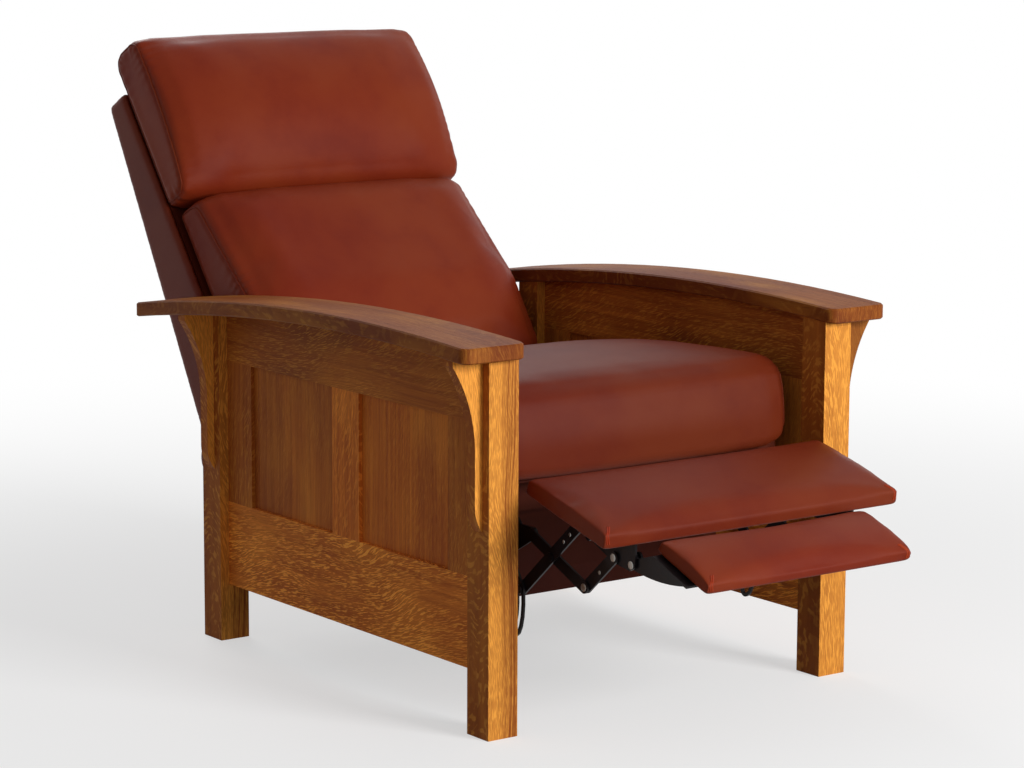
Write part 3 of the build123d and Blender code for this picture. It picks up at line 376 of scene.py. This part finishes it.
dress(raw_wood("poplar_long", Y, *POPLAR), "left_seat_side_rail", "right_seat_side_rail")
dress(raw_wood("poplar_cross", X, *POPLAR), "seat_rear_rail", "back_top_rail", "back_foot_rail")
dress(raw_wood("poplar_upright", Z, *POPLAR), "left_back_stile", "right_back_stile")
dress(raw_wood("plywood", X, *PLYWOOD), "footrest_board", "flipper_board")


# Recliner mechanism
# Stamped steel links and plates in black enamel, riveted at their pivots. The screws that hold them
# on the cross rails are zinc-plated, and so are the seat's springs and the rivets' heads.

PEEL_FINE = 900.0
WEAR_FINE = 35.0
WORN_PALER = 14


def enamel(name, colour, rough, metal=0.0):
    """Painted or plated steel, slightly orange-peeled, duller where it has been handled."""
    material, shader, place = new_paint(name)
    spot = place[0].vector(*place)
    peel = place[0].noise(spot, scale=PEEL_FINE, detail=1.0)
    wear = place[0].noise(spot, scale=WEAR_FINE, detail=3.0)
    worn = stain(*[c + WORN_PALER for c in colour])
    sockets_of(shader, {"Base Color": wear.step(0.35, 0.75).mix(stain(*colour), worn),
                        "Roughness": wear * 0.25 + rough, "Metallic": metal,
                        "Normal": bump(peel, 0.0001, 0.3), "Specular IOR Level": 0.18})
    return material


black = enamel("black_enamel", (20, 15, 17), 0.28)
dress(black, "left_mechanism_plate", "right_mechanism_plate", "guide_plates", "upper_links", "lower_links",
      "riser_links", "footrest_brackets", "drive_links", "flipper_arms", "hinge_plates", "back_brackets")
zinc = enamel("zinc_plate", (150, 150, 146), 0.25, metal=1.0)
dress(zinc, "base_screws", "seat_springs")

DOUBLES = 0.00002          # points nearer than this are one
STUD_SIDES = 24
STUD_RIM = ((0, 0), (1, 0), (1, 0.4), (0.8, 0.85), (0.4, 1), (0, 1))     # shares of radius and thickness
# Name, body, how far out, forward and up its middle is, radius and thickness, in metres
STUDS = (
    ("front_pivot_stud", "upper_links", (0.236, -0.5452, 0.2420), 0.0065, 0.0007),
    ("board_pivot_stud", "lower_links", (0.241, -0.5320, 0.3366), 0.0075, 0.0022),
    ("riser_pivot_stud", "footboard", (0.231, -0.6127, 0.3015), 0.0065, 0.0007),
    ("flipper_pivot_stud", "footboard", (0.2264, -0.6514, 0.2960), 0.0065, 0.0005),
    ("upper_stitch_stud", "lower_links", (0.241, -0.5158, 0.3223), 0.0032, 0.0012),
    ("lower_stitch_stud", "lower_links", (0.241, -0.4996, 0.3080), 0.0032, 0.0012),
    ("riser_stitch_stud", "riser_links", (0.231, -0.5790, 0.2717), 0.0032, 0.0007),
)

for name, body, (out, ahead, up), radius, thick in STUDS:
    for side, hand in zip(SIDES, (-1, 1)):
        bm = bmesh.new()
        spots = [bm.verts.new((hand * (out + thick * rise), ahead, up + radius * far))
                 for far, rise in STUD_RIM]
        lines = [bm.edges.new(pair) for pair in zip(spots, spots[1:])]
        bmesh.ops.spin(bm, geom=spots + lines, cent=(0, ahead, up), axis=(1, 0, 0), angle=math.tau,
                       steps=STUD_SIDES, use_merge=True)
        bmesh.ops.remove_doubles(bm, verts=bm.verts, dist=DOUBLES)
        bmesh.ops.recalc_face_normals(bm, faces=bm.faces)
        mesh = bpy.data.meshes.new(f"{side}_{name}")
        bm.to_mesh(mesh)
        bm.free()
        mesh.materials.append(zinc)
        stud = link_up(f"{side}_{name}", mesh)
        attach(stud, body)


# Leather
# Semi-aniline cowhide, oxblood with a browner rub where it is stretched. It is stapled over the
# skirt and the front rails of the seat, and sewn into cases for the cushions and pads.

HIDE_RED = (118, 35, 16)
HIDE_BROWN = (132, 53, 23)
HIDE_SHADE = (98, 27, 14)
HIDE_GRAIN = 750.0         # per metre, as the next three
CREASE_FINE = 160.0
MOTTLE_FINE = 9.0
RUB_FINE = 2.2
HIDE_GLOSS = 0.09
HIDE_ROUGH = 0.44


def hide(name, shift, tone_and_shade=1.0):
    """Pebbled leather, mottled by hand rubbing. Every colour is scaled by the tone, which on the less lit
    pieces is painted shade.
    """
    red, brown, shade = [stain(*[c * tone_and_shade for c in colour]) for colour in (HIDE_RED, HIDE_BROWN, HIDE_SHADE)]
    material, shader, place = new_paint(name)
    spot = place[0].vector(place[0] + shift, place[1] - shift, place[2])
    mottle = place[0].noise(spot, scale=MOTTLE_FINE, detail=5.0, rough=0.6)
    rub = place[0].noise(spot, scale=RUB_FINE, detail=2.0)
    pebble = place[0].node("ShaderNodeTexVoronoi", {"feature": "DISTANCE_TO_EDGE"},
                           {"Vector": spot, "Scale": HIDE_GRAIN}, out="Distance")
    crease = place[0].noise(spot, scale=CREASE_FINE, detail=3.0)
    colour = (mottle * 0.4 + rub * 0.6).step(0.25, 0.8).mix(red, brown)
    colour = (mottle.step(0.55, 0.2) * 0.35).mix(colour, shade)
    sockets_of(shader, {"Base Color": colour, "Roughness": HIDE_ROUGH - mottle * 0.06 + crease * 0.06,
                        "Normal": bump(pebble.step(0.0, 0.25) + crease * 0.8, 0.0002, 0.4),
                        "Specular IOR Level": HIDE_GLOSS})
    return material


leather = hide("oxblood_leather", 0.0, 0.9)
# The skirt, the seat's front and nose rails and the back's deck get a much darker tone, as painted shade
dress(hide("skirt_leather", 0.4, 0.66), "front_skirt", "seat_front_rail", "seat_nose_rail", "back_deck")


# Cloth over the seat springs
# Plain brown burlap stretched over the springs and stapled to the seat rails. It carries the seat
# cushion and shows only in the gap behind it.

THREADS = 620.0            # per metre
SLUB_FINE = 60.0

material, shader, place = new_paint("burlap")
warp, weft = [(place[n] * (THREADS * math.tau)).sine() for n in (X, Y)]
slub = place[0].noise(place[0].vector(*place), scale=SLUB_FINE, detail=3.0)
weave = (warp * weft).size() * 0.7 + slub * 0.5
sockets_of(shader, {"Base Color": weave.step(0.1, 0.9).mix(stain(92, 68, 44), stain(140, 112, 76)),
                    "Roughness": 0.95, "Normal": bump(weave, 0.0004, 0.6), "Specular IOR Level": 0.1})
dress(material, "seat_deck_cloth")


# Seat cushion and back pillows
# Leather cases boxed over foam and fibre, held by their own fit between the arms and on the back's
# panel. Each is blown up from a slightly small copy of its form, firm where it lies on its frame,
# and sewn along both ends, where the leather puckers into the seam.

VOXEL = 0.007
SIM_FRAMES = 20
PRESSURE = 4.0
CLOTH = {"quality": 4, "mass": 0.35, "tension_stiffness": 14, "compression_stiffness": 14,
         "shear_stiffness": 8, "bending_stiffness": 1.5, "use_pressure": True}
SMALL_START = 0.008        # how much smaller a case starts
SLIDE_KEPT = 0.3           # share of the cloth's movement along its own surface that is kept
CALM_ROUNDS = 22           # how often each point's swelling is evened out with its neighbours'
SEAM_STEP = 0.003          # from point to point along a seam
SEAM_RADIUS = 0.0014
SEAM_OUT = 0.35            # how far a rolled edge's middle stands off the case, in radii
ROLL_STEP = 0.005          # from point to point along a rolled edge
PUCKER_SPACING = 0.019     # from fold to fold
PUCKER_REACH = 0.024
PUCKER_DEEP = 0.0007
SINK_DEEP = 0.0022         # how far a seam draws the case in, and how far beside it
SINK_REACH = 0.006
SEAT_TILT = math.radians(6.0)
BACK_TILT = math.radians(29.6)


def lay_of(angle):
    """Side, ahead and up directions of a piece that leans back by an angle."""
    lean, rise = math.sin(angle), math.cos(angle)
    return np.array([(1, 0, 0), (0, -rise, lean), (0, lean, rise)])


def merged(node):
    """A CAD node's form as one closed shell in bmesh."""
    form = bmesh.new()
    form.from_mesh(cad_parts[node].data)
    bmesh.ops.remove_doubles(form, verts=form.verts, dist=DOUBLES)
    bmesh.ops.recalc_face_normals(form, faces=form.faces)
    return form


def shaped(piece):
    """A piece as its modifiers leave it."""
    return piece.evaluated_get(bpy.context.evaluated_depsgraph_get())


def settle(piece):
    """Applies a piece's modifiers."""
    mesh = bpy.data.meshes.new_from_object(shaped(piece))
    piece.modifiers.clear()
    piece.data = mesh


def points_of(mesh, what="co"):
    """Every vertex's place, or its normal, one to a row."""
    values = np.zeros(len(mesh.vertices) * 3)
    mesh.vertices.foreach_get(what, values)
    return values.reshape(-1, 3)


def set_points(mesh, places):
    mesh.vertices.foreach_set("co", places.ravel())
    mesh.update()


def even_skin(name, node, voxel, softening=4):
    """The CAD form with an even mesh, ready to be blown up."""
    form = merged(node)
    mesh = bpy.data.meshes.new(name)
    form.to_mesh(mesh)
    form.free()
    piece = link_up(name, mesh)
    remesh = piece.modifiers.new("even", "REMESH")
    remesh.mode = "VOXEL"
    remesh.voxel_size = voxel
    settle(piece)
    smooth = piece.modifiers.new("smooth", "SMOOTH")
    smooth.factor = 0.5
    smooth.iterations = softening
    settle(piece)
    return piece


def room(piece, lay, caps):
    """How far each point may stand off its form: caps are left, right, behind, ahead, below and above."""
    facing = points_of(piece.data, "normal") @ lay.T
    shares = np.concatenate([np.clip(-facing, 0, 1), np.clip(facing, 0, 1)], axis=1) ** 2
    left, right, behind, ahead, below, above = caps
    return shares @ np.array([left, behind, below, right, ahead, above])


def calmed(piece, moves, rounds):
    """Evens out how far each point moves with the points beside it."""
    mesh = piece.data
    ends = np.zeros(len(mesh.edges) * 2, dtype=np.int64)
    mesh.edges.foreach_get("vertices", ends)
    first, second = ends.reshape(-1, 2).T
    count = np.bincount(ends, minlength=len(mesh.vertices))[:, None]
    for _ in range(rounds):
        around = np.zeros_like(moves)
        np.add.at(around, first, moves[second])
        np.add.at(around, second, moves[first])
        moves = (moves + around / count) / 2
    return moves


def ramp(values, low, high):
    """0 below low, 1 above high, smooth between."""
    share = np.clip((values - low) / (high - low), 0, 1)
    return share * share * (3 - 2 * share)


def plump(piece, caps, pressure=PRESSURE, rounds=CALM_ROUNDS):
    """Blows a case up by cloth pressure from a smaller start, and holds each point to its cap."""
    mesh = piece.data
    form, normals = points_of(mesh), points_of(mesh, "normal")
    held = np.clip(caps / SMALL_START, 0, 1)[:, None]
    set_points(mesh, form - normals * SMALL_START * held)
    cloth = piece.modifiers.new("case", "CLOTH")
    for name, value in CLOTH.items():
        setattr(cloth.settings, name, value)
    cloth.settings.uniform_pressure_force = pressure
    cloth.settings.effector_weights.gravity = 0
    cloth.point_cache.frame_end = SIM_FRAMES
    for step in range(1, SIM_FRAMES + 1):
        bpy.context.scene.frame_set(step)
    moved = points_of(shaped(piece).data) - form
    piece.modifiers.clear()
    out = (moved * normals).sum(axis=1, keepdims=True)
    slide = (moved - normals * out) * held * SLIDE_KEPT
    out = np.clip(out, -SMALL_START * held, caps[:, None])
    set_points(mesh, form + calmed(piece, normals * out + slide, rounds))
    bpy.context.scene.frame_set(1)


def end_loop(node, side):
    """The sewn edge round one end of a boxed case, as points in order."""
    form = merged(node)
    bmesh.ops.dissolve_limit(form, angle_limit=0.01, verts=form.verts, edges=form.edges)
    ends = [f for f in form.faces if f.normal.x * side > 0.99]
    end = max(ends, key=lambda f: f.calc_area())
    loop = [v.co.copy() for v in end.verts]
    form.free()
    return loop


def dense(loop, spacing=SEAM_STEP):
    """Points every few millimetres round a closed path."""
    spots = []
    for a, b in zip(loop, loop[1:] + loop[:1]):
        count = max(1, round((b - a).length / spacing))
        spots += [a.lerp(b, n / count) for n in range(count)]
    return spots


def nearest_of(spots):
    """A search tree over points."""
    tree = KDTree(len(spots))
    for n, spot in enumerate(spots):
        tree.insert(spot, n)
    tree.balance()
    return tree


def pucker(piece, loops):
    """Gathers the leather in small uneven folds that run square into each seam."""
    rows = [dense(loop) for loop in loops]
    runs = [n * SEAM_STEP / PUCKER_SPACING for row in rows for n in range(len(row))]
    tree = nearest_of([spot for row in rows for spot in row])
    mesh = piece.data
    places, normals = points_of(mesh), points_of(mesh, "normal")
    for n, place in enumerate(places):
        _, index, far = tree.find(Vector(place))
        if far < PUCKER_REACH * 3:
            run = runs[index]
            depth = 0.5 + 0.5 * math.sin(run * 0.37 + 1)
            fold = math.sin(math.tau * run + 2.6 * math.sin(run * 0.9)) * depth
            rise = min(1, far / (PUCKER_REACH * 0.25)) * math.exp(-(far / PUCKER_REACH) ** 2)
            places[n] = place + normals[n] * PUCKER_DEEP * fold * rise
    set_points(mesh, places)


def sink_in(piece, loops):
    """Draws the case in along its seams."""
    tree = nearest_of([spot for loop in loops for spot in dense(loop)])
    mesh = piece.data
    places, normals = points_of(mesh), points_of(mesh, "normal")
    far = np.array([tree.find(Vector(place))[2] for place in places])
    set_points(mesh, places - normals * (SINK_DEEP * np.exp(-(far / SINK_REACH) ** 2))[:, None])


def skin_of(piece):
    """A case's surface, to lay things on."""
    mesh = piece.data
    return BVHTree.FromPolygons([v.co for v in mesh.vertices], [face.vertices for face in mesh.polygons])


def roll(name, spots, radius, closed, paint, body):
    """A thin rolled edge of leather along points, straight between them if closed and smooth if not."""
    curve = bpy.data.curves.new(name, "CURVE")
    curve.dimensions = "3D"
    curve.bevel_depth = radius
    curve.bevel_resolution = 2
    curve.use_fill_caps = not closed
    spline = curve.splines.new("POLY" if closed else "NURBS")
    spline.points.add(len(spots) - 1)
    for point, spot in zip(spline.points, spots):
        point.co = (*spot, 1)
    spline.use_cyclic_u = closed
    if not closed:
        spline.order_u = 3
        spline.use_endpoint_u = True
    draft = link_up(f"{name}_draft", curve)
    mesh = bpy.data.meshes.new_from_object(shaped(draft))
    bpy.data.objects.remove(draft)
    mesh.materials.append(paint)
    for face in mesh.polygons:
        face.use_smooth = True
    edge = link_up(name, mesh)
    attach(edge, body)


def seam(name, piece, loop, body):
    """A rolled seam laid on the case along a closed path."""
    skin = skin_of(piece)
    found = [skin.find_nearest(spot) for spot in dense(loop, ROLL_STEP)]
    spots = [near + normal * SEAM_RADIUS * SEAM_OUT for near, normal, _, _ in found]
    roll(name, spots, SEAM_RADIUS, True, leather, body)


def rounded_out(piece):
    """One subdivision of a case, before its fine folds."""
    rounded = piece.modifiers.new("round", "SUBSURF")
    rounded.levels = 1
    rounded.render_levels = 1
    settle(piece)


def finish_soft(piece, body, material, *nodes, fill=0.8):
    """Smooth shading, and the piece's place in the frame."""
    for face in piece.data.polygons:
        face.use_smooth = True
    piece.data.materials.clear()
    piece.data.materials.append(material)
    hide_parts(*nodes)
    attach(piece, body)


# Room to swell in metres, left, right, behind, ahead, below and above; more of it ahead beside the
# end seams; how much wider the case is cut; its place in the hide and its tone, which darkens the seat
# cushion as painted shade
CUSHIONS = (
    ("seat_cushion", "base", SEAT_TILT, (0.006, 0.006, 0.001, 0.014, 0.0, 0.005), 0.0, 1.0, 0.1, 0.82),
    ("lower_pillow", "back", BACK_TILT, (0.013, 0.013, 0.0, 0.008, 0.001, 0.0008), 0.016, 1.0, 0.7, 1.0),
    ("head_pillow", "back", BACK_TILT, (0.014, 0.014, 0.0, 0.008, 0.0008, 0.006), 0.013, 1.05, 1.3, 1.02),
)
FULL_FROM, FULL_TO = 0.5, 0.92      # shares of half the width, between which the ends get that room

for node, body, tilt, caps, full, wider, shift, tone_and_shade in CUSHIONS:
    lay = lay_of(tilt)
    half_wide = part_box(node)[1].x
    loops = [end_loop(node, side) for side in (-1, 1)]
    case = even_skin(f"{node}_case", node, VOXEL)
    out = np.abs(points_of(case.data)[:, 0]) / half_wide
    ahead = np.clip(points_of(case.data, "normal") @ lay[1], 0, 1)
    set_points(case.data, points_of(case.data) * (wider, 1, 1))
    plump(case, room(case, lay, caps) + full * ramp(out, FULL_FROM, FULL_TO) * ahead ** 3)
    rounded_out(case)
    swell = max(v.co.x for v in case.data.vertices) / half_wide
    loops = [[Vector((spot.x * swell, spot.y, spot.z)) for spot in loop] for loop in loops]
    pucker(case, loops)
    sink_in(case, loops)
    for side, loop in zip(SIDES, loops):
        seam(f"{node}_{side}_seam", case, loop, body)
    finish_soft(case, body, hide(f"{node}_leather", shift, tone_and_shade), node)


# Footrest pads
# Leather drawn over foam on a plywood board and stapled underneath, with a pleat folded at each
# front corner. It stays flat underneath, where it lies on the board.

PAD_VOXEL = 0.004
PAD_SOFTENING = 30
PAD_FULLER = (0.015, 0.012, 0.0035)    # how much wider, longer and thicker than its form a pad is cut
PAD_ROOM = (0.013, 0.013, 0.005, 0.012, 0.0, 0.011)     # left, right, behind, ahead, below, above
PAD_PRESSURE = 3.0
PAD_CALM = 10
BOARD_GAP = 0.002                      # between the board's ends and the leather turned over them
TURN_OVER = 0.0125                     # how far in from the front and rear the leather may swell below
PLEAT_LIP = 0.0015
LIP_APART = 1.3                        # from the fold to the middle of a lip, in lip radii
LIP_SUNK = 0.2                         # how far a lip lies in the leather, in lip radii
# Points of the fold: how far in from the end and back from the front, in metres, and the height as a
# share of the pad's thickness
PLEAT_BENDS = ((0.017, 0.015, 1.0), (0.012, 0.006, 0.92), (0.008, 0.002, 0.7), (0.0065, 0.0, 0.45),
               (0.009, 0.001, 0.22))
# Name, body, how far it leans back, its place in the hide and its tone, which darkens the pads as painted
# shade
PADS = (
    ("footrest_pad", "footboard", math.radians(-15.2), 2.1, 0.88),
    ("flipper_pad", "flipper", math.radians(-21.5), 2.9, 0.95),
)

lip_leather = hide("pleat_leather", 0.2, 1.22)


def spread_of(piece, lay):
    """Every point's place along a piece's own directions, with the least and the most of each."""
    spread = points_of(piece.data) @ lay.T
    return spread, spread.min(axis=0), spread.max(axis=0)


def pleat(name, piece, lay, side, body):
    """The folded corner: two thin lips side by side, from the top over the edge and down the front."""
    _, low, (half, far, top) = spread_of(piece, lay)
    foot = low[2]
    skin = skin_of(piece)
    fold = [Vector(np.array((side * (half - inward), far - back, foot + (top - foot) * up)) @ lay)
            for inward, back, up in PLEAT_BENDS]
    for lip, turn in enumerate((-1, 1)):
        found = [skin.find_nearest(spot + Vector((turn * PLEAT_LIP * LIP_APART, 0, 0))) for spot in fold]
        spots = [near - normal * PLEAT_LIP * LIP_SUNK for near, normal, _, _ in found]
        roll(f"{name}_{lip}", spots, PLEAT_LIP, False, lip_leather, body)


for node, body, tilt, shift, tone_and_shade in PADS:
    lay = lay_of(tilt)
    case = even_skin(f"{node}_case", node, PAD_VOXEL, PAD_SOFTENING)
    spread, low, high = spread_of(case, lay)
    spread += PAD_FULLER * ((spread - low) / (high - low) - (0.5, 0, 0))     # both ways to the sides
    set_points(case.data, spread @ lay)

    # No swelling underneath, where the leather lies on the board
    caps = room(case, lay, PAD_ROOM)
    spread, low, high = spread_of(case, lay)
    board_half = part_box(node.replace("pad", "board"))[1].x
    flat = (np.abs(spread[:, 0]) < board_half + BOARD_GAP) & (points_of(case.data, "normal") @ lay[2] < 0.5)
    flat &= (spread[:, 1] > low[1] + TURN_OVER) & (spread[:, 1] < high[1] - TURN_OVER)
    caps[flat] = 0

    plump(case, caps, PAD_PRESSURE, PAD_CALM)
    rounded_out(case)
    for side, hand in zip(SIDES, (-1, 1)):
        pleat(f"{node}_{side}_pleat", case, lay, hand, body)
    finish_soft(case, body, hide(f"{node}_leather", shift, tone_and_shade), node, fill=0.9)


# Outside back
# A leather cover over thin padding on the back's frame, with its wings beside the pillows, rolled
# along the foot and stapled to the frame's edges.

COVER_INNER = 0.2975       # where the wings begin, from the middle
COVER_VOXEL = 0.0045
COVER_ROOM = (0.003, 0.003, 0.005, 0.0, 0.001, 0.002)     # left, right, behind, ahead, below, above
COVER_CALM = 6

case = even_skin("back_cover_case", "back_cover", COVER_VOXEL)
places, facing = points_of(case.data), points_of(case.data, "normal")
lay = lay_of(BACK_TILT)
caps = room(case, lay, COVER_ROOM)
caps[(np.abs(places[:, 0]) < COVER_INNER) & (facing @ lay[1] > 0)] = 0
set_points(case.data, places + calmed(case, facing * caps[:, None], COVER_CALM))
rounded_out(case)
# The cover's darker tone is painted shade
finish_soft(case, "back", hide("back_cover_leather", 3.7, 0.86), "back_cover", fill=0.7)
